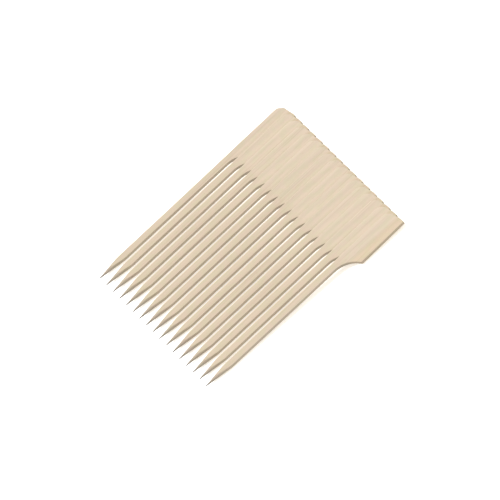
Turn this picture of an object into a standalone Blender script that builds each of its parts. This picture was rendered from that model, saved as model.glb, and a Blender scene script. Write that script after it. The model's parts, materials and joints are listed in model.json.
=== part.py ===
"""A row of bamboo paddle picks, laid side by side like roof tiles.

Each pick is one flat strip of bamboo. It has a needle point, a slim shaft with one straight edge, and a paddle
that widens to one side only, through a round shoulder. The picks are loose: each leans on the one before it,
and rests on the table where its needle point starts and at the corner of its shoulder.

Metres, +Z up. X runs along the row, from pick_01 at the bottom of the overlap to pick_17 at the top. Y runs
along the picks, with the paddles at +Y. The origin is on the table, under the middle of the row.

A pick has its own axes. A goes across it from the straight edge, B goes along it from the needle point, and
C goes through its thickness from the underside.
"""

import math

import bmesh
import bpy
from mathutils import Matrix, Vector

MM = 0.001

# The row
PICK_COUNT = 17
ROW_PITCH = 6.9 * MM
FACE_GAP = 0.3 * MM  # air between a pick's upper face and the next pick's underside

# One strip of bamboo
PICK_LENGTH = 120.1 * MM
THICKNESS = 2.5 * MM
EDGE_BEVEL = 0.2 * MM  # the light sanding along the rims of both faces

# Shaft
SHAFT_WIDTH_AT_POINT = 3.25 * MM
SHAFT_WIDTH_AT_SHOULDER = 3.6 * MM

# Shoulder: a hollow arc that leaves the shaft's edge and ends at a corner, where the paddle is widest
SHOULDER_START = 80.6 * MM
SHOULDER_RADIUS = 14.0 * MM
SHOULDER_CORNER_RADIUS = 0.35 * MM
PADDLE_WIDTH_AT_SHOULDER = 10.25 * MM

# Top of the paddle: a rounded 45 degree corner on the straight side, then an end cut at a slant
PADDLE_WIDTH_AT_TOP = 9.75 * MM
TOP_SLANT = math.radians(10.5)
CORNER_CUT_START = 116.2 * MM
CORNER_CUT_ANGLE = math.radians(45.0)
CORNER_CUT_RADIUS = 3.2 * MM
CORNER_CUT_TOP_RADIUS = 1.0 * MM
TOP_CORNER_RADIUS = 0.6 * MM

# Needle point: a cone around a line that runs a little nearer the straight edge than the shaft's middle
POINT_FROM_EDGE = 1.505 * MM
POINT_RADIUS = 0.16 * MM
POINT_SLOPE = 0.127  # how much the cone's radius grows along its length
CONE_SIDES = 28
CONE_LENGTH = 140.0 * MM
BLANK_OVERHANG = 2.0 * MM  # the strip before it is sharpened reaches this far past its needle point

ARC_STEP = math.radians(12.0)
SHARP_ANGLE = math.radians(32.0)
RIM_ANGLE = math.radians(60.0)
SETTLING_STEPS = 10

# Pale bamboo. No two strips have quite the same shade.
BAMBOO_COLOR = (0.66, 0.53, 0.38)
BAMBOO_ROUGHNESS = 0.62
SHADE_SPREAD = 0.04


def clear_scene():
    for obj in list(bpy.data.objects):
        bpy.data.objects.remove(obj)


def arc_points(centre, radius, start, sweep):
    """Points along an arc, its two ends included."""
    steps = max(2, math.ceil(abs(sweep) / ARC_STEP))
    angles = [start + sweep * k / steps for k in range(steps + 1)]
    return [centre + radius * Vector((math.cos(t), math.sin(t))) for t in angles]


def rounded(corner, before, after, radius):
    """The arc that rounds a corner of the outline, whose neighbours are the points before and after it."""
    towards_before = (before - corner).normalized()
    towards_after = (after - corner).normalized()
    half = towards_before.angle(towards_after) / 2
    bisector = (towards_before + towards_after).normalized()
    centre = corner + bisector * radius / math.sin(half)
    first = corner + towards_before * radius / math.tan(half) - centre
    last = corner + towards_after * radius / math.tan(half) - centre
    sweep = math.atan2(first.cross(last), first.dot(last))
    return arc_points(centre, radius, math.atan2(first.y, first.x), sweep)


def shoulder_corner():
    """The corner between the shoulder's arc and the paddle's side, and the arc's sweep up to it."""
    rise = PADDLE_WIDTH_AT_SHOULDER - SHAFT_WIDTH_AT_SHOULDER
    sweep = math.acos(1 - rise / SHOULDER_RADIUS)
    return Vector((PADDLE_WIDTH_AT_SHOULDER, SHOULDER_START + SHOULDER_RADIUS * math.sin(sweep))), sweep


def pick_outline():
    """The outline of the strip before it is sharpened, seen from above and running anticlockwise."""
    corner, sweep = shoulder_corner()
    arc_centre = Vector((SHAFT_WIDTH_AT_SHOULDER + SHOULDER_RADIUS, SHOULDER_START))
    shoulder = arc_points(arc_centre, SHOULDER_RADIUS, math.pi, -sweep)[:-1]

    top_right = Vector((PADDLE_WIDTH_AT_TOP, PICK_LENGTH))
    cut_start = Vector((0, CORNER_CUT_START))
    # Where the 45 degree cut, rising from the straight edge, meets the slanted end
    below_top = PICK_LENGTH - PADDLE_WIDTH_AT_TOP * math.tan(TOP_SLANT) - CORNER_CUT_START
    cut_width = below_top / (1 / math.tan(CORNER_CUT_ANGLE) - math.tan(TOP_SLANT))
    cut_end = Vector((cut_width, CORNER_CUT_START + cut_width / math.tan(CORNER_CUT_ANGLE)))
    blank_left = Vector((0, -BLANK_OVERHANG))
    blank_right = Vector((SHAFT_WIDTH_AT_POINT, -BLANK_OVERHANG))

    return [
        blank_left,
        blank_right,
        *shoulder,
        *rounded(corner, shoulder[-1], top_right, SHOULDER_CORNER_RADIUS),
        *rounded(top_right, corner, cut_end, TOP_CORNER_RADIUS),
        *rounded(cut_end, top_right, cut_start, CORNER_CUT_TOP_RADIUS),
        *rounded(cut_start, cut_end, blank_left, CORNER_CUT_RADIUS),
    ]


def strip_blank():
    """The flat strip, cut to its outline and with the rims of its faces sanded."""
    bm = bmesh.new()
    rim = [bm.verts.new((p.x, p.y, 0)) for p in pick_outline()]
    underside = bm.faces.new(rim)
    raised = bmesh.ops.extrude_face_region(bm, geom=[underside])["geom"]
    top = [v for v in raised if isinstance(v, bmesh.types.BMVert)]
    bmesh.ops.translate(bm, verts=top, vec=(0, 0, THICKNESS))
    bmesh.ops.recalc_face_normals(bm, faces=bm.faces)
    mesh = bpy.data.meshes.new("strip_blank")
    bm.to_mesh(mesh)
    bm.free()
    blank = bpy.data.objects.new("strip_blank", mesh)
    bpy.context.collection.objects.link(blank)
    sanding = blank.modifiers.new("sanding", "BEVEL")
    sanding.width = EDGE_BEVEL
    sanding.segments = 1
    sanding.limit_method = "ANGLE"
    sanding.angle_limit = RIM_ANGLE
    return blank


def sharpener():
    """A long cone that leaves the whole strip inside it, apart from what is cut away to make the point."""
    bm = bmesh.new()
    rings = []
    for along in (0, CONE_LENGTH):
        radius = POINT_RADIUS + POINT_SLOPE * along
        turns = [2 * math.pi * (k + 0.5) / CONE_SIDES for k in range(CONE_SIDES)]
        ring = [
            bm.verts.new((POINT_FROM_EDGE + radius * math.sin(t), along, THICKNESS / 2 + radius * math.cos(t)))
            for t in turns
        ]
        rings.append(ring)
        bm.faces.new(ring)
    small, large = rings
    for k in range(CONE_SIDES):
        after = (k + 1) % CONE_SIDES
        bm.faces.new((small[k], small[after], large[after], large[k]))
    bmesh.ops.recalc_face_normals(bm, faces=bm.faces)
    mesh = bpy.data.meshes.new("sharpener")
    bm.to_mesh(mesh)
    bm.free()
    cone = bpy.data.objects.new("sharpener", mesh)
    bpy.context.collection.objects.link(cone)
    cone.hide_render = True
    cone.display_type = "WIRE"
    return cone


def pick_mesh():
    """One finished pick, with its origin at the tip of its needle point. All the picks share it."""
    blank = strip_blank()
    cone = sharpener()
    sharpening = blank.modifiers.new("sharpening", "BOOLEAN")
    sharpening.operation = "INTERSECT"
    sharpening.object = cone
    bpy.context.view_layer.update()
    depsgraph = bpy.context.evaluated_depsgraph_get()
    mesh = bpy.data.meshes.new_from_object(blank.evaluated_get(depsgraph))
    mesh.name = "pick"
    bpy.data.objects.remove(blank)
    bpy.data.objects.remove(cone)
    for vertex in mesh.vertices:
        vertex.co -= Vector((POINT_FROM_EDGE, 0, THICKNESS / 2))
    mesh.shade_smooth()
    mesh.set_sharp_from_angle(angle=SHARP_ANGLE)
    mesh.materials.append(None)  # the slot that each pick fills with a shade of its own
    return mesh


def lean_angle():
    """How far each pick is rolled about its length, for its underside to lie on the pick before it."""
    return math.asin((THICKNESS + FACE_GAP) / ROW_PITCH)


def rise_angle(mesh):
    """How far the paddles are raised, for a leaning pick to lie on the table.

    It then rests on two points of its lower right rim. One is where the needle point starts, and the other is
    the corner of the shoulder.
    """
    rolled = [Matrix.Rotation(lean_angle(), 3, "Y") @ vertex.co for vertex in mesh.vertices]
    front = [p for p in rolled if p.y < PICK_LENGTH / 2]
    back = [p for p in rolled if p.y >= PICK_LENGTH / 2]
    rise = 0.0
    for _ in range(SETTLING_STEPS):
        up = Vector((0, math.sin(rise), math.cos(rise)))
        foot = min(front, key=up.dot)
        heel = min(back, key=up.dot)
        rise = math.atan2(foot.z - heel.z, heel.y - foot.y)
    return rise


def bamboo(number):
    """The material of one pick, a little lighter or darker than its neighbours."""
    shade = 1 + SHADE_SPREAD * math.sin(2.4 * number)
    color = [channel * shade for channel in BAMBOO_COLOR]
    material = bpy.data.materials.new(f"bamboo_{number:02d}")
    material.use_nodes = True
    material.diffuse_color = (*color, 1)
    shader = material.node_tree.nodes["Principled BSDF"]
    shader.inputs["Base Color"].default_value = (*color, 1)
    shader.inputs["Roughness"].default_value = BAMBOO_ROUGHNESS
    shader.inputs["Metallic"].default_value = 0.0
    return material


def lay_row(mesh):
    """Lays the picks in a row, under one empty that carries the row's slope."""
    row = bpy.data.objects.new("row", None)
    bpy.context.collection.objects.link(row)
    row.rotation_euler = (rise_angle(mesh), 0, 0)
    picks = []
    for index in range(PICK_COUNT):
        number = index + 1
        pick = bpy.data.objects.new(f"pick_{number:02d}", mesh)
        bpy.context.collection.objects.link(pick)
        pick.parent = row
        pick.location = (index * ROW_PITCH, 0, 0)
        pick.rotation_euler = (0, lean_angle(), 0)
        pick.material_slots[0].link = "OBJECT"
        pick.material_slots[0].material = bamboo(number)
        picks.append(pick)
    return row, picks


def stand_on_origin(row, picks):
    """Moves the row to put the origin on the table, under the middle of its footprint."""
    bpy.context.view_layer.update()
    points = [pick.matrix_world @ vertex.co for pick in picks for vertex in pick.data.vertices]
    low = Vector([min(p[axis] for p in points) for axis in range(3)])
    high = Vector([max(p[axis] for p in points) for axis in range(3)])
    row.location = (-(low.x + high.x) / 2, -(low.y + high.y) / 2, -low.z)


clear_scene()
stand_on_origin(*lay_row(pick_mesh()))
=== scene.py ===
"""Looks for the row of bamboo paddle picks.

Every CAD pick is replaced by a finely meshed one of the same size: rims worn round by sanding, a ground
needle point, shallow grooves along the fibres, and the small differences that no two strips of bamboo escape.

Lengths in the settings below are in millimetres, and angles in degrees. A pick has its own axes: A across it
from the straight edge, B along it from the needle point, and C through its thickness from the underside.
"""

import json
import math

import bpy
import numpy as np
from mathutils import Matrix, Vector


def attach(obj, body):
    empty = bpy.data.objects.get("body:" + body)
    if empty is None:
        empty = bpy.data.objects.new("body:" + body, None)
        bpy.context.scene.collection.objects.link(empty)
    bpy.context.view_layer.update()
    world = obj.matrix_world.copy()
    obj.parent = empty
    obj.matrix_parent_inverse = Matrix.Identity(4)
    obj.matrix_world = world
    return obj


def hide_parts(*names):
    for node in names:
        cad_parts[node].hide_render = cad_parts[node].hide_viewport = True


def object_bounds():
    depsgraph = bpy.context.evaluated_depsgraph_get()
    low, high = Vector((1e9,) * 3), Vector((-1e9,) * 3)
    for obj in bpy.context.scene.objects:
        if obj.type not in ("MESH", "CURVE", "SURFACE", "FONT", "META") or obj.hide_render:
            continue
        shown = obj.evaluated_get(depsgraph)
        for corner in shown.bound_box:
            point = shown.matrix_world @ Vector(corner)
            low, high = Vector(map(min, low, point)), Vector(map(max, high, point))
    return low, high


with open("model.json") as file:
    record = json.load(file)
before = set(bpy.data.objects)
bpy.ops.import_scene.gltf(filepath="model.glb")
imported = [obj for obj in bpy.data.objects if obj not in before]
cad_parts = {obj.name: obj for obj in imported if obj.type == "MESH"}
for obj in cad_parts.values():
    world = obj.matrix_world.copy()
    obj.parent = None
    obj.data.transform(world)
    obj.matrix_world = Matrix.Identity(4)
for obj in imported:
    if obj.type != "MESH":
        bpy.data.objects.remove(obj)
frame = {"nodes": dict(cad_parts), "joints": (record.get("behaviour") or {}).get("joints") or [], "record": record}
cad_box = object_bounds()

MM = 0.001

# The outline of a pick, as it was cut. Its length, widths and thickness come from the CAD pick.
SHAFT_WIDTH_AT_POINT = 3.25
SHAFT_WIDTH_AT_SHOULDER = 3.6
SHOULDER_START = 80.6
SHOULDER_RADIUS = 14.0
SHOULDER_CORNER_SOFTNESS = 0.5
PADDLE_NARROWING = 0.5  # from the shoulder to the top
CORNER_CUT_START = 116.2
CORNER_CUT_RADIUS = 3.2
CORNER_CUT_TOP_RADIUS = 1.0
TOP_CORNER_RADIUS = 0.6
TOP_SLANT = 10.5
CORNER_CUT_ANGLE = 45.0
SLANTED_STRETCH = 22.0  # how far below the top the mesh's rows start to turn towards the slant

# The needle point
POINT_FROM_EDGE = 1.505
POINT_RADIUS = 0.16
POINT_SLOPE = 0.127
POINT_CREASE = 0.12  # how softly the cone meets the flat faces
CREASE_FADE = 5.0  # the crease is sharper than that up to here
POINT_DARKENING_LENGTH = 5.0  # the cone is drawn darker, and less and less up from the point
TIP_DARKEST_LENGTH = 1.2  # its very tip is darkest
TIP_DARKEST_SHARE = 0.35
GRINDING_DEPTH = 0.1  # skin ground away by this much or more has lost its worn look and its painted rim highlight
# The cone isn't quite round: how many waves go around it, their share of its radius, and their twist along it
GRINDING_WAVES = ((3, 0.012, 0.4), (7, 0.008, -0.9))

# Painted shade in the hollow shoulder: its side is drawn darker, the darkest part of the sides
HOLLOW_LENGTH = 8.5
HOLLOW_FADE = 2.0
HOLLOW_PAINTED_SHADE = 0.12
SIDE_FACING = 1 / 3  # skin whose normal has less of A than this isn't a side at all

# Wear
RIM_RADII = (0.22, 0.2, 0.5, 0.22)  # left and right below, then left and right above
PADDLE_RIM_RADII = (0.22, 0.2, 0.26, 0.22)
PADDLE_RIM_WEAR_AND_HIGHLIGHT = 0.45  # paler rims on the paddle, from sanded wear and a painted highlight, next to 1 on the shaft
RIM_RADIUS_SPREAD = 0.05
END_RIM_RADIUS = 0.2
SMALLEST_RIM = 0.06
RIM_RADIUS_WAVES = (4, 30)  # shortest and longest
NICKS = 4
NICK_DEPTH = 0.12
NICK_LENGTH = 0.5
NICKS_FROM_POINT = 20.0
NICKS_FROM_TOP = 4.0
GROOVES = 12  # waves that make up the grooves
GROOVE_DEPTH = 0.036
GROOVE_PITCH = (0.5, 2.2)
GROOVE_DRIFT_LENGTH = 90.0  # a groove wanders by no more than its pitch in this length
SMOOTH_POINT = 12.0  # the grooves fade out from here to the needle point
EDGE_WANDER = 0.03
EDGE_WANDER_WAVES = (12, 70)
EDGE_WANDER_FADE = 4.0
BOW = 0.06  # at most, upwards, between the two places where a pick rests on the table
FRONT_FOOT = 14.9
BACK_FOOT = 92.6

# Tone of the paddle. It has soft pale ribs along the fibres, and its right part is a little warmer. All the
# picks are alike in this, because they were cut from one section of cane.
PADDLE_START = 82.0
PADDLE_FADE = 9.0
PADDLE_LIGHTNESS = 0.026
PADDLE_RICHNESS = -0.05
RIB_LIGHTNESS = 0.034
RIB_PLACE = 3.85
RIB_SPREAD = 0.25
RIB_PITCH = 4.0
RIB_DRIFT = 0.05  # sideways for each millimetre along the pick
RIB_MIDDLE = 99.0  # where along the pick the ribs are in their place
WARM_START = 4.8
WARM_FADE = 2.0
WARM_RICHNESS = 0.15

# Mesh rows across the pick and columns around it
ROW_STEPS = (  # up to this far along the pick, rows are this far apart
    (0.7, 0.12),
    (19.0, 0.45),
    (80.0, 1.5),
    (90.8, 0.6),
    (93.4, 0.11),
    (113.4, 1.3),
    (119.0, 0.3),
)
LAST_ROW_STEP = 0.05  # as far as the end's rim
END_RIM_ROWS = 4
FACE_COLUMNS = 26
FACE_COLUMNS_AT_RIMS = 0.65  # 0 spaces the columns evenly, 1 crowds them towards the rims
RIM_COLUMNS = 4
SIDE_COLUMNS = 5

# The photograph's viewing direction, and where it centres the row
VIEW_FROM_VERTICAL = 50.1
VIEW_TOWARDS_POINTS = 4.04
VIEW_ROLL = 38.88
VIEW_WIDTH = 234.7
AIM_RIGHT = 0.5
AIM_UP = -0.949
LENS = 1300.0
SENSOR = 36.0

# Studio
KEY_LIGHT_FROM = (-0.25, -0.32, 1.1)
KEY_STRENGTH = 2.31
KEY_SOFTNESS = 30
WORLD_STRENGTH = 0.8
SHEET_WHITE = (0.95, 0.95, 0.95, 1)
SHEET_GLOW_COLOR = (1, 0.95, 0.85, 1)
SHEET_GLOW = 0.45
SHEET_HALF_SIZE = 12000.0
SHEET_BELOW = 0.03  # air between the picks and the sheet

# Colours, and how strongly each feature of the bamboo shows
BAMBOO = (0.534, 0.4445, 0.3285, 1)
BAMBOO_PINK = (0.556, 0.437, 0.333, 1)
BAMBOO_STRAW = (0.515, 0.448, 0.305, 1)
FIBRE_BROWN = (0.34, 0.225, 0.125, 1)
# Rims are paler: partly sanded wear, partly a painted highlight where light would catch them
WORN_RIM_AND_HIGHLIGHT = (0.67, 0.575, 0.45, 1)
EVENNESS = 0.4
STRAND_SHOWS = 0.3
STRAND_END_SHOWS = 0.4
PORE_SHOWS = 0.4
WEAR_AND_HIGHLIGHT_SHOWS = 0.9
CUT_END_DARKNESS = 0.16
POINT_DARKNESS = 0.9
POINT_GREYNESS = 0.3

FIRST_SEED = 100


def mount_axis(name):
    mount = next(m for m in frame["record"]["mounts"] if m["name"] == name)
    return Vector(mount["axis"]).normalized()


def pick_axes():
    """The directions A, B and C of every pick, as rows.

    The draw joints run along B, and the top face faces C.
    """
    along = Vector(frame["joints"][0]["axis"]).normalized()
    across = along.cross(mount_axis("top_paddle_face")).normalized()
    return np.array([across, along, across.cross(along)])


AXES = pick_axes()


def cad_extent(node):
    """Lowest and highest A, B and C of a CAD pick, in millimetres, measured along its own axes."""
    vertices = frame["nodes"][node].data.vertices
    places = np.empty(len(vertices) * 3)
    vertices.foreach_get("co", places)
    local = places.reshape(-1, 3) @ AXES.T / MM
    return local.min(0), local.max(0)


PICKS = sorted(frame["nodes"])
lowest, highest = cad_extent(PICKS[0])
PADDLE_WIDTH, LENGTH, THICKNESS = highest - lowest


def smooth_min(x, y, softness):
    """The smaller of x and y, with the corner between them rounded."""
    share = np.clip(0.5 + 0.5 * (y - x) / softness, 0, 1)
    return y + (x - y) * share - softness * share * (1 - share)


def smooth_step(x):
    x = np.clip(x, 0, 1)
    return x * x * (3 - 2 * x)


def waves(rng, places, wavelengths, count):
    """A smooth seeded wander between about -1 and 1 along one direction, made of waves of these lengths."""
    total = np.zeros_like(places)
    for _ in range(count):
        length = rng.uniform(*wavelengths)
        total += np.sin(places * 2 * math.pi / length + rng.uniform(0, 2 * math.pi))
    return total / count * 1.4


# ---------------------------------------------------------------- outline of a pick

SLANT = math.radians(TOP_SLANT)
CUT_ANGLE = math.radians(CORNER_CUT_ANGLE)
# From the corner between the cut and the slanted end to either end of the arc that rounds it
UPPER_ARC_REACH = CORNER_CUT_TOP_RADIUS * math.tan((CUT_ANGLE - SLANT) / 2)


def right_edge(along):
    """The shaft's right edge, the shoulder, the paddle's side and its rounded top corner, as A for each B."""
    widening = (SHAFT_WIDTH_AT_SHOULDER - SHAFT_WIDTH_AT_POINT) * along / SHOULDER_START
    shaft = SHAFT_WIDTH_AT_POINT + widening
    into = np.clip(along - SHOULDER_START, 0, SHOULDER_RADIUS)
    shoulder = SHAFT_WIDTH_AT_SHOULDER + SHOULDER_RADIUS - np.sqrt(SHOULDER_RADIUS**2 - into**2)
    rise = PADDLE_WIDTH - SHAFT_WIDTH_AT_SHOULDER
    corner = SHOULDER_START + math.sqrt(SHOULDER_RADIUS**2 - (SHOULDER_RADIUS - rise) ** 2)
    side = PADDLE_WIDTH - PADDLE_NARROWING * (along - corner) / (LENGTH - corner)
    into = np.clip(along - LENGTH + TOP_CORNER_RADIUS, 0, TOP_CORNER_RADIUS)
    side -= TOP_CORNER_RADIUS - np.sqrt(TOP_CORNER_RADIUS**2 - into**2)
    return np.where(along < SHOULDER_START, shaft, smooth_min(shoulder, side, SHOULDER_CORNER_SOFTNESS))


def cut_width():
    """How far the 45 degree cut reaches, across the pick and along it."""
    slope = math.tan(SLANT)
    # The rounded corner leaves the pick shorter than its slanted end and its side would meet
    length_unrounded = LENGTH + TOP_CORNER_RADIUS * (slope + 1 / math.cos(SLANT) - 1)
    top_width = PADDLE_WIDTH - PADDLE_NARROWING
    return (length_unrounded - CORNER_CUT_START - top_width * slope) / (1 - slope)


def left_edge(along):
    """The straight edge and the 45 degree cut, rounded at both its ends, as A for each B."""
    arc_start = CORNER_CUT_START - CORNER_CUT_RADIUS * math.tan(CUT_ANGLE / 2)
    arc_length = CORNER_CUT_RADIUS * math.sin(CUT_ANGLE)
    into = np.clip(along - arc_start, 0, arc_length)
    arc = CORNER_CUT_RADIUS - np.sqrt(CORNER_CUT_RADIUS**2 - into**2)
    straight = np.clip(along - arc_start - arc_length, 0, None)

    # The upper arc turns from 45 degrees to the direction of the slanted top
    first_sine, last_sine = math.sin(CUT_ANGLE), math.cos(SLANT)
    arc_start = CORNER_CUT_START + cut_width() - UPPER_ARC_REACH * math.cos(CUT_ANGLE)
    into = np.clip(along - arc_start, 0, None)
    sine = np.clip(first_sine + into / CORNER_CUT_TOP_RADIUS, 0, last_sine)
    upper_arc = CORNER_CUT_TOP_RADIUS * (first_sine - np.sqrt(1 - sine**2))
    return arc + straight - into + upper_arc


def row_ends(rows):
    """Where each mesh row meets the left and the right edge, as points (A, B).

    Rows run straight across, and near the top they turn to follow the slanted end.
    """
    drop = LENGTH - CORNER_CUT_START - cut_width() - UPPER_ARC_REACH * math.sin(SLANT)
    left_along = rows - drop * smooth_step((rows - LENGTH + SLANTED_STRETCH) / SLANTED_STRETCH)
    left = np.stack([left_edge(left_along), left_along], 1)
    right = np.stack([right_edge(rows), rows], 1)
    return left, right


def row_places():
    """Where the mesh rows are along the pick, and how far each is drawn in to round the end's rim."""
    places = []
    start = 0.02
    for stop, step in (*ROW_STEPS, (LENGTH - END_RIM_RADIUS, LAST_ROW_STEP)):
        count = max(1, round((stop - start) / step))
        places += list(np.linspace(start, stop, count, endpoint=False))
        start = stop
    turns = np.radians(np.linspace(0, 90, END_RIM_ROWS + 1))
    rim = LENGTH - END_RIM_RADIUS * (1 - np.sin(turns))
    drawn_in = np.concatenate([np.zeros(len(places)), END_RIM_RADIUS * (1 - np.cos(turns))])
    return np.concatenate([places, rim]), drawn_in


# ---------------------------------------------------------------- section of a pick


def face_shares():
    """Places of the columns across a face, from 0 to 1, a little crowded towards the rims."""
    even = np.linspace(0, 1, FACE_COLUMNS)
    crowded = 0.5 - 0.5 * np.cos(math.pi * even)
    return even + (crowded - even) * FACE_COLUMNS_AT_RIMS


def section_loop():
    """The columns around a pick, anticlockwise seen from the paddle's end.

    Each is (share of the width, share of the rim's radius drawn in, share of the thickness,
    share of the rim's radius up from the underside, share down from the top, outward A, outward C).
    """
    loop = [(u, 1, 0, 0, 0, 0, -1) for u in face_shares()]
    turns = np.radians(np.linspace(0, 90, RIM_COLUMNS + 1))
    heights = np.linspace(0, 1, SIDE_COLUMNS + 2)[1:-1]

    def rim(u, turn, upper):
        cos, sin = math.cos(turn), math.sin(turn)
        sign = 1 if u else -1
        if upper:
            return (u, 1 - cos, 1, 0, 1 - sin, sign * cos, sin)
        return (u, 1 - sin, 0, 1 - cos, 0, sign * sin, -cos)

    loop += [rim(1, t, False) for t in turns[1:]]
    loop += [(1, 0, h, 1 - h, h, 1, 0) for h in heights]
    loop += [rim(1, t, True) for t in turns[:-1]]
    loop += [(u, 1, 1, 0, 0, 0, 1) for u in face_shares()[::-1]]
    loop += [rim(0, t, True) for t in turns[::-1][1:]]
    loop += [(0, 0, h, 1 - h, h, -1, 0) for h in heights[::-1]]
    loop += [rim(0, t, False) for t in turns[::-1][:-1]]
    return np.array(loop).T


WIDTH_SHARE, INSET, HEIGHT, FROM_BELOW, FROM_ABOVE, OUT_A, OUT_C = section_loop()
COLUMNS = len(WIDTH_SHARE)
ON_RIM = np.sin(2 * np.arctan2(np.abs(OUT_A), np.abs(OUT_C)))  # 1 in the middle of a rim, 0 on the flats


def paddle_share(along):
    """0 on the shaft, 1 on the paddle, and smooth between them."""
    return smooth_step((along - PADDLE_START) / PADDLE_FADE)


def rim_radii(rng, rows):
    """The worn radius of the four rims at every row: left and right below, then left and right above."""
    radii = []
    for on_shaft, on_paddle in zip(RIM_RADII, PADDLE_RIM_RADII):
        usual = on_shaft + (on_paddle - on_shaft) * paddle_share(rows)
        radius = usual + RIM_RADIUS_SPREAD * waves(rng, rows, RIM_RADIUS_WAVES, 5)
        for _ in range(rng.integers(0, NICKS)):
            place = rng.uniform(NICKS_FROM_POINT, LENGTH - NICKS_FROM_TOP)
            length = rng.uniform(0.6, 1.6) * NICK_LENGTH
            radius += NICK_DEPTH * rng.uniform(0.3, 1) * np.exp(-(((rows - place) / length) ** 2))
        radii.append(radius)
    return np.array(radii)


def slant_factor(row_direction, edge):
    """How much longer an inset is along a row than square to the edge that the row meets."""
    heading = np.gradient(edge, axis=0)
    heading /= np.linalg.norm(heading, axis=1, keepdims=True) + 1e-12
    crossing = row_direction[:, 0] * heading[:, 1] - row_direction[:, 1] * heading[:, 0]
    return 1 / np.clip(np.abs(crossing), 0.35, 1)


def strip_surface(rng, rows, drawn_in):
    """A, B and C of every mesh point of a strip that isn't sharpened yet, in an array of rows by columns."""
    left, right = row_ends(rows)
    wander = EDGE_WANDER * smooth_step((LENGTH - rows) / EDGE_WANDER_FADE)
    left[:, 0] += wander * (waves(rng, rows, EDGE_WANDER_WAVES, 4) + 1)
    right[:, 0] += wander * (waves(rng, rows, EDGE_WANDER_WAVES, 4) - 1)
    span = right - left
    width = np.linalg.norm(span, axis=1)
    direction = span / width[:, None]
    left_slant = slant_factor(direction, left)
    right_slant = slant_factor(direction, right)

    radii = np.maximum(rim_radii(rng, rows) - drawn_in, SMALLEST_RIM)
    low_left, low_right, high_left, high_right = radii
    upper = HEIGHT > 0.5
    at_left = np.where(upper, high_left[:, None], low_left[:, None])
    at_right = np.where(upper, high_right[:, None], low_right[:, None])

    start = left_slant[:, None] * (drawn_in[:, None] + at_left * INSET)
    stop = width[:, None] - right_slant[:, None] * (drawn_in[:, None] + at_right * INSET)
    reach = start + (stop - start) * WIDTH_SHARE
    below = np.where(WIDTH_SHARE > 0.5, low_right[:, None], low_left[:, None])
    above = np.where(WIDTH_SHARE > 0.5, high_right[:, None], high_left[:, None])
    flat = left[:, None, :] + direction[:, None, :] * reach[:, :, None]
    thickness = THICKNESS - 2 * drawn_in[:, None]
    up = drawn_in[:, None] + thickness * HEIGHT + below * FROM_BELOW - above * FROM_ABOVE
    return np.dstack([flat, up])


def sharpened(surface, rows, rng):
    """Draws the points in to the cone of the needle point.

    Says how much of the skin was ground at every point, and how much darker the cone is drawn there, both from 0
    to 1.
    """
    axis = np.array([POINT_FROM_EDGE, THICKNESS / 2])
    spokes = surface[:, :, [0, 2]] - axis
    distance = np.linalg.norm(spokes, axis=2)
    cone = POINT_RADIUS + POINT_SLOPE * rows
    nose = np.sqrt(np.clip(rows * (2 * POINT_RADIUS - rows), 0, None))
    cone = np.where(rows < POINT_RADIUS, np.minimum(nose, cone), cone)
    angle = np.arctan2(spokes[:, :, 1], spokes[:, :, 0])
    grinding = 1
    for around, share, twist in GRINDING_WAVES:
        grinding = grinding + share * np.sin(around * angle + rng.uniform(0, 6) + rows[:, None] * twist)
    cone = cone[:, None] * grinding
    crease = POINT_CREASE * np.clip(rows / CREASE_FADE, 0.02, 1)[:, None]
    kept = smooth_min(distance, cone, crease)
    point_darkening = (1 - TIP_DARKEST_SHARE) * np.exp(-rows / POINT_DARKENING_LENGTH)
    tip_darkening = TIP_DARKEST_SHARE * np.exp(-rows / TIP_DARKEST_LENGTH)
    ground = np.clip((distance - cone) / GRINDING_DEPTH, 0, 1)
    surface[:, :, [0, 2]] = axis + spokes * (kept / np.maximum(distance, 1e-9))[:, :, None]
    return ground, ground * (point_darkening + tip_darkening)[:, None]


def groove_relief(rng, surface):
    """Shallow grooves that run with the fibres, as relief between about -1 and 0 at every point."""
    a, b, c = surface[:, :, 0], surface[:, :, 1], surface[:, :, 2]
    relief = np.zeros_like(a)
    for _ in range(GROOVES):
        pitch = rng.uniform(*GROOVE_PITCH)
        heading = rng.uniform(0, 2 * math.pi)
        drift = rng.uniform(-1, 1) * 2 * math.pi / GROOVE_DRIFT_LENGTH
        phase = 2 * math.pi * (a * math.cos(heading) + c * math.sin(heading)) / pitch
        relief += np.sin(phase + drift * b + rng.uniform(0, 2 * math.pi))
    return relief / math.sqrt(GROOVES) / 4 - 0.5


def pick_surface(rng):
    """The finished skin of one pick in its own axes, where it was ground, and how much darker it is drawn there.
    """
    rows, drawn_in = row_places()
    surface = strip_surface(rng, rows, drawn_in)
    ground, point_darkening = sharpened(surface, rows, rng)
    skin = np.clip(rows / SMOOTH_POINT, 0.05, 1) * (1 - drawn_in / END_RIM_RADIUS)
    relief = GROOVE_DEPTH * groove_relief(rng, surface) * skin[:, None]
    surface[:, :, 0] += OUT_A * relief
    surface[:, :, 2] += OUT_C * relief
    between_feet = np.clip((rows - FRONT_FOOT) / (BACK_FOOT - FRONT_FOOT), 0, 1)
    surface[:, :, 2] += (BOW * rng.uniform(0, 1) * np.sin(math.pi * between_feet))[:, None]
    return surface, ground, point_darkening


# ---------------------------------------------------------------- meshes


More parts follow.
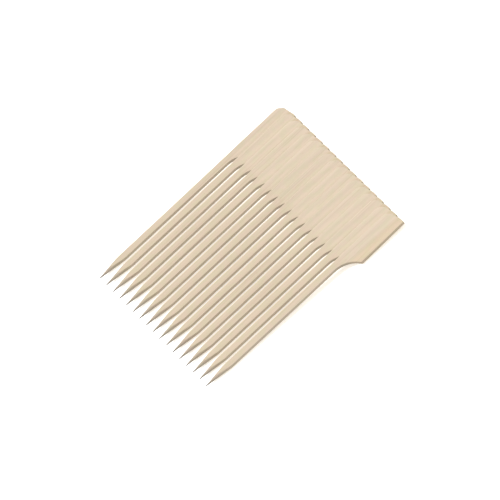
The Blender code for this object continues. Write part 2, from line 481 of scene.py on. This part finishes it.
def skin_faces(row_count):
    """Quads between neighbouring rows, a fan over the needle's tip, and the paddle's end."""
    row, column = np.meshgrid(np.arange(row_count - 1), np.arange(COLUMNS), indexing="ij")
    here = row * COLUMNS + column
    beside = row * COLUMNS + (column + 1) % COLUMNS
    quads = np.stack([here, here + COLUMNS, beside + COLUMNS, beside], 2).reshape(-1, 4).tolist()
    tip = row_count * COLUMNS
    fan = [(tip, k, (k + 1) % COLUMNS) for k in range(COLUMNS)]

    last = (row_count - 1) * COLUMNS
    edge = RIM_COLUMNS + SIDE_COLUMNS + RIM_COLUMNS
    top_start = FACE_COLUMNS + edge
    under = [last + k for k in range(FACE_COLUMNS)]
    over = [last + top_start + FACE_COLUMNS - 1 - k for k in range(FACE_COLUMNS)]
    end = [(under[k], over[k], over[k + 1], under[k + 1]) for k in range(FACE_COLUMNS - 1)]
    right = [last + FACE_COLUMNS - 1 + k for k in range(edge + 2)]
    left = [last + (top_start + FACE_COLUMNS - 1 + k) % COLUMNS for k in range(edge + 2)]
    return quads + fan + end + [tuple(right[::-1]), tuple(left[::-1])]


def set_attribute(mesh, name, kind, values):
    attribute = mesh.attributes.new(name, kind, "POINT")
    key = "vector" if kind == "FLOAT_VECTOR" else "value"
    attribute.data.foreach_set(key, np.ascontiguousarray(values, np.float32).ravel())


def hollow_shade_share(normals, local):
    """How much of the skin is the side of the hollow shoulder, which gets painted shade, from 0 to 1 at every
    point.
    """
    facing_out = smooth_step((np.abs(normals[:, 0]) - SIDE_FACING) / (1 - SIDE_FACING))
    along = local[:, 1] - SHOULDER_START
    in_hollow = smooth_step(along / HOLLOW_FADE) * smooth_step((HOLLOW_LENGTH - along) / HOLLOW_FADE)
    return facing_out * in_hollow * smooth_step(local[:, 0] - POINT_FROM_EDGE)


def paddle_tone(rng, local):
    """How much lighter and how much richer in colour the paddle is than the shaft, at every point."""
    across, along = local[:, 0], local[:, 1]
    paddle = paddle_share(along)
    place = RIB_PLACE + rng.uniform(-1, 1) * RIB_SPREAD + RIB_DRIFT * (along - RIB_MIDDLE)
    rib = np.cos((across - place) * 2 * math.pi / RIB_PITCH)
    warm = smooth_step((across - WARM_START) / WARM_FADE)
    lightness = paddle * (PADDLE_LIGHTNESS + RIB_LIGHTNESS * rib)
    richness = paddle * (PADDLE_RICHNESS + WARM_RICHNESS * warm)
    return lightness, richness


def pick_piece(number, node, material):
    """The visible pick that stands for one CAD pick."""
    rng = np.random.default_rng(FIRST_SEED + number)
    surface, ground, point_darkening = pick_surface(rng)
    row_count = len(surface)
    tip = np.array([[POINT_FROM_EDGE, 0, THICKNESS / 2]])
    local = np.concatenate([surface.reshape(-1, 3), tip])
    corner, _ = cad_extent(node)
    world = (local + corner) @ AXES * MM

    mesh = bpy.data.meshes.new(f"bamboo_{node}")
    mesh.from_pydata(world.tolist(), [], skin_faces(row_count))
    mesh.shade_smooth()
    normals = np.empty(len(world) * 3)
    mesh.vertex_normals.foreach_get("vector", normals)
    normals = normals.reshape(-1, 3) @ AXES.T
    cut_across = np.abs(normals[:, 1])
    # Rims are drawn paler, partly as sanded wear and partly as a painted highlight, less so on the paddle
    rim_wear_and_highlight_share = 1 - (1 - PADDLE_RIM_WEAR_AND_HIGHLIGHT) * paddle_share(local[:, 1])
    wear_and_highlight = np.append(ON_RIM * (1 - ground), 0) * rim_wear_and_highlight_share
    # Each pick reads its own stretch of the grain pattern
    set_attribute(mesh, "grain", "FLOAT_VECTOR", local + rng.uniform(100, 900, 3))
    set_attribute(mesh, "cut_across", "FLOAT", cut_across)
    set_attribute(mesh, "wear_and_highlight", "FLOAT", wear_and_highlight)
    set_attribute(mesh, "point_darkening", "FLOAT", np.append(point_darkening, 1))
    set_attribute(mesh, "strip", "FLOAT", np.full(len(world), rng.uniform()))
    lightness, richness = paddle_tone(rng, local)
    # Painted shade on the side of the hollow shoulder
    lightness -= HOLLOW_PAINTED_SHADE * hollow_shade_share(normals, local)
    set_attribute(mesh, "lightness", "FLOAT", lightness)
    set_attribute(mesh, "richness", "FLOAT", richness)
    # One face was nearer to the hard skin of the cane, where the strands are dense
    inward = local[:, 2] / THICKNESS
    set_attribute(mesh, "depth", "FLOAT", inward if rng.uniform() < 0.5 else 1 - inward)
    mesh.materials.append(material)

    piece = bpy.data.objects.new(f"bamboo_{node}", mesh)
    bpy.context.scene.collection.objects.link(piece)
    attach(piece, node)
    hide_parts(node)
    return piece


# ---------------------------------------------------------------- bamboo


class Graph:
    """Adds shader nodes to a material and links them."""

    def __init__(self, material):
        material.use_nodes = True
        self.tree = material.node_tree
        self.shader = self.tree.nodes["Principled BSDF"]

    def add(self, kind, inputs=(), output=0, **settings):
        node = self.tree.nodes.new(kind)
        for name, value in settings.items():
            setattr(node, name, value)
        for key, value in dict(inputs).items():
            self.feed(node.inputs[key], value)
        return node.outputs[output]

    def feed(self, socket, value):
        if isinstance(value, bpy.types.NodeSocket):
            self.tree.links.new(value, socket)
        else:
            socket.default_value = value

    def attribute(self, name, output):
        return self.add("ShaderNodeAttribute", output=output, attribute_name=name)

    def math(self, operation, first, second=0.0, third=0.0, clamp=False):
        inputs = {0: first, 1: second, 2: third}
        return self.add("ShaderNodeMath", inputs, operation=operation, use_clamp=clamp)

    def stretched(self, vector, across, along):
        """The grain's coordinates, in units of this size across and along the fibres."""
        scale = (1 / across, 1 / along, 1 / across)
        return self.add("ShaderNodeVectorMath", {0: vector, 1: scale}, operation="MULTIPLY")

    def noise(self, vector, across, along, detail=2.0, roughness=0.5):
        inputs = {"Vector": self.stretched(vector, across, along), "Scale": 1.0}
        inputs.update({"Detail": detail, "Roughness": roughness})
        return self.add("ShaderNodeTexNoise", inputs, output="Fac")

    def between(self, value, low, high):
        """0 below low, 1 above high, and smooth between them."""
        inputs = {"Value": value, "From Min": low, "From Max": high}
        return self.add("ShaderNodeMapRange", inputs, interpolation_type="SMOOTHSTEP")

    def mix(self, factor, first, second):
        # A mix node has sockets for each type of data, and its colours are inputs 6 and 7 and output 2
        return self.add("ShaderNodeMix", {0: factor, 6: first, 7: second}, output=2, data_type="RGBA")


def bamboo():
    """Dry sanded bamboo: pale, with fine fibres and darker strands that end as dots where they are cut."""
    material = bpy.data.materials.new("bamboo")
    g = Graph(material)
    grain = g.attribute("grain", "Vector")
    cut_across = g.attribute("cut_across", "Fac")
    wear_and_highlight = g.attribute("wear_and_highlight", "Fac")
    point_darkening = g.attribute("point_darkening", "Fac")
    strip = g.attribute("strip", "Fac")
    depth = g.attribute("depth", "Fac")
    lightness = g.attribute("lightness", "Fac")
    richness = g.attribute("richness", "Fac")

    # Strands: bundles about 0.5 mm apart that run along the pick for some centimetres
    cells = {"Vector": g.stretched(grain, 0.5, 60.0), "Scale": 1.0, "Randomness": 1.0}
    strand = g.between(g.add("ShaderNodeTexVoronoi", cells, output="Distance"), 0.44, 0.16)
    density = g.add("ShaderNodeSeparateColor", {0: g.add("ShaderNodeTexVoronoi", cells, output="Color")})
    density = g.math("ADD", density, g.math("MULTIPLY", depth, 0.4))
    strand = g.math("MULTIPLY", strand, g.between(density, 0.3, 1.1))

    # Pores: short hair-thin dashes along the strands
    pore_cells = {"Vector": g.stretched(grain, 0.3, 4.5), "Scale": 1.0, "Randomness": 1.0}
    pore = g.between(g.add("ShaderNodeTexVoronoi", pore_cells, output="Distance"), 0.2, 0.1)
    pore = g.math("MULTIPLY", pore, g.between(g.noise(grain, 1.2, 9.0), 0.48, 0.62))

    fine = g.noise(grain, 0.16, 14.0, detail=3.0, roughness=0.6)
    fuzz = g.noise(grain, 0.07, 0.9, detail=2.0)
    tone = g.noise(grain, 4.0, 45.0, detail=2.0)
    hue = g.noise(grain, 2.5, 4.5, detail=2.0)

    strand_end = g.math("MULTIPLY", strand, cut_across)
    color = g.mix(g.between(hue, 0.35, 0.62), BAMBOO_STRAW, BAMBOO_PINK)
    color = g.mix(EVENNESS, color, BAMBOO)
    color = g.mix(g.math("MULTIPLY", strand, STRAND_SHOWS), color, FIBRE_BROWN)
    color = g.mix(g.math("MULTIPLY", strand_end, STRAND_END_SHOWS), color, FIBRE_BROWN)
    color = g.mix(g.math("MULTIPLY", pore, PORE_SHOWS), color, FIBRE_BROWN)
    # Paler rims: sanded wear and a painted highlight
    color = g.mix(g.math("MULTIPLY", wear_and_highlight, WEAR_AND_HIGHLIGHT_SHOWS), color, WORN_RIM_AND_HIGHLIGHT)

    # Each pattern makes the bamboo a little lighter and darker around its own middle
    value = g.math("MULTIPLY_ADD", fine, 0.24, 0.88)
    value = g.math("MULTIPLY_ADD", tone, 0.10, g.math("SUBTRACT", value, 0.05))
    value = g.math("MULTIPLY_ADD", fuzz, 0.08, g.math("SUBTRACT", value, 0.04))
    value = g.math("MULTIPLY_ADD", strip, 0.03, g.math("SUBTRACT", value, 0.015))
    value = g.math("MULTIPLY_ADD", cut_across, -CUT_END_DARKNESS, value)
    value = g.math("MULTIPLY_ADD", point_darkening, -POINT_DARKNESS, value)
    # lightness carries the paddle's tone and the painted shade in the hollow shoulder
    value = g.math("ADD", lightness, value)
    saturation = g.math("MULTIPLY_ADD", point_darkening, -POINT_GREYNESS, g.math("ADD", richness, 1.0))
    toned = {"Hue": 0.5, "Saturation": saturation, "Value": value, "Color": color}
    color = g.add("ShaderNodeHueSaturation", toned)
    g.feed(g.shader.inputs["Base Color"], color)

    roughness = g.math("MULTIPLY_ADD", fine, 0.16, 0.52)
    g.feed(g.shader.inputs["Roughness"], g.math("MULTIPLY_ADD", cut_across, 0.15, roughness))
    g.shader.inputs["Specular IOR Level"].default_value = 0.35

    # Grinding leaves fine rings round the needle point
    turning = {"Vector": grain, "Scale": 0.8, "Distortion": 3.0, "Detail": 2.0}
    rings = g.add("ShaderNodeTexWave", turning, output="Fac", bands_direction="Y")
    height = g.math("MULTIPLY_ADD", strand, -0.6, fine)
    height = g.math("MULTIPLY_ADD", pore, -0.8, height)
    height = g.math("MULTIPLY_ADD", fuzz, 0.4, height)
    height = g.math("MULTIPLY_ADD", g.math("MULTIPLY", rings, point_darkening), 0.25, height)
    bump = g.add("ShaderNodeBump", {"Strength": 0.45, "Distance": 0.03 * MM, "Height": height})
    g.feed(g.shader.inputs["Normal"], bump)
    return material


# ---------------------------------------------------------------- studio


def light_table():
    """A matt white sheet lit from below by warm lamps. Under the studio light it is plain white."""
    material = bpy.data.materials.new("light_table")
    material.use_nodes = True
    shader = material.node_tree.nodes["Principled BSDF"]
    shader.inputs["Base Color"].default_value = SHEET_WHITE
    shader.inputs["Roughness"].default_value = 0.9
    shader.inputs["Specular IOR Level"].default_value = 0.0
    shader.inputs["Emission Color"].default_value = SHEET_GLOW_COLOR
    shader.inputs["Emission Strength"].default_value = SHEET_GLOW
    return material


def make_floor():
    """The sheet under the picks. It catches their shadows, and doesn't light their sides.

    Its light on the sides would wash out the dark bands between the picks.
    """
    size = SHEET_HALF_SIZE * MM
    height = cad_box[0].z - SHEET_BELOW * MM
    corners = [(-size, -size, height), (size, -size, height), (size, size, height), (-size, size, height)]
    mesh = bpy.data.meshes.new("floor")
    mesh.from_pydata(corners, [], [(0, 1, 2, 3)])
    mesh.materials.append(light_table())
    floor = bpy.data.objects.new("floor", mesh)
    bpy.context.scene.collection.objects.link(floor)
    floor.visible_diffuse = False


def make_key_light(direction, strength, softness):
    """One broad soft light, far enough away to light every pick alike."""
    data = bpy.data.lights.new("key", "SUN")
    data.energy = strength
    data.angle = math.radians(softness)
    light = bpy.data.objects.new("key", data)
    light.rotation_euler = Vector(direction).to_track_quat("Z", "Y").to_euler()
    bpy.context.scene.collection.objects.link(light)


def make_world(strength):
    world = bpy.data.worlds.new("studio")
    world.use_nodes = True
    background = world.node_tree.nodes["Background"]
    background.inputs["Color"].default_value = (1, 1, 1, 1)
    background.inputs["Strength"].default_value = strength
    bpy.context.scene.world = world


def make_camera():
    """A long lens at the photograph's angle, rolled as the photograph is."""
    down, aside, roll = (math.radians(v) for v in (VIEW_FROM_VERTICAL, VIEW_TOWARDS_POINTS, VIEW_ROLL))
    back = Vector((math.sin(down) * math.cos(aside), -math.sin(down) * math.sin(aside), math.cos(down)))
    level = Vector((0, 0, 1)).cross(back).normalized()
    upright = back.cross(level)
    right = level * math.cos(roll) - upright * math.sin(roll)
    up = level * math.sin(roll) + upright * math.cos(roll)
    centre = (cad_box[0] + cad_box[1]) / 2
    distance = VIEW_WIDTH * MM * LENS / SENSOR
    place = centre + (right * AIM_RIGHT + up * AIM_UP) * MM + back * distance
    data = bpy.data.cameras.new("camera")
    data.lens = LENS
    data.sensor_width = SENSOR
    data.clip_end = 100
    camera = bpy.data.objects.new("camera", data)
    camera.matrix_world = Matrix.Translation(place) @ Matrix((right, up, back)).transposed().to_4x4()
    bpy.context.scene.collection.objects.link(camera)
    bpy.context.scene.camera = camera


make_camera()
make_floor()
make_world(WORLD_STRENGTH)
make_key_light(KEY_LIGHT_FROM, KEY_STRENGTH, KEY_SOFTNESS)
bpy.context.scene.view_settings.view_transform = "Standard"

bamboo_material = bamboo()
for number, node in enumerate(PICKS, 1):
    pick_piece(number, node, bamboo_material)
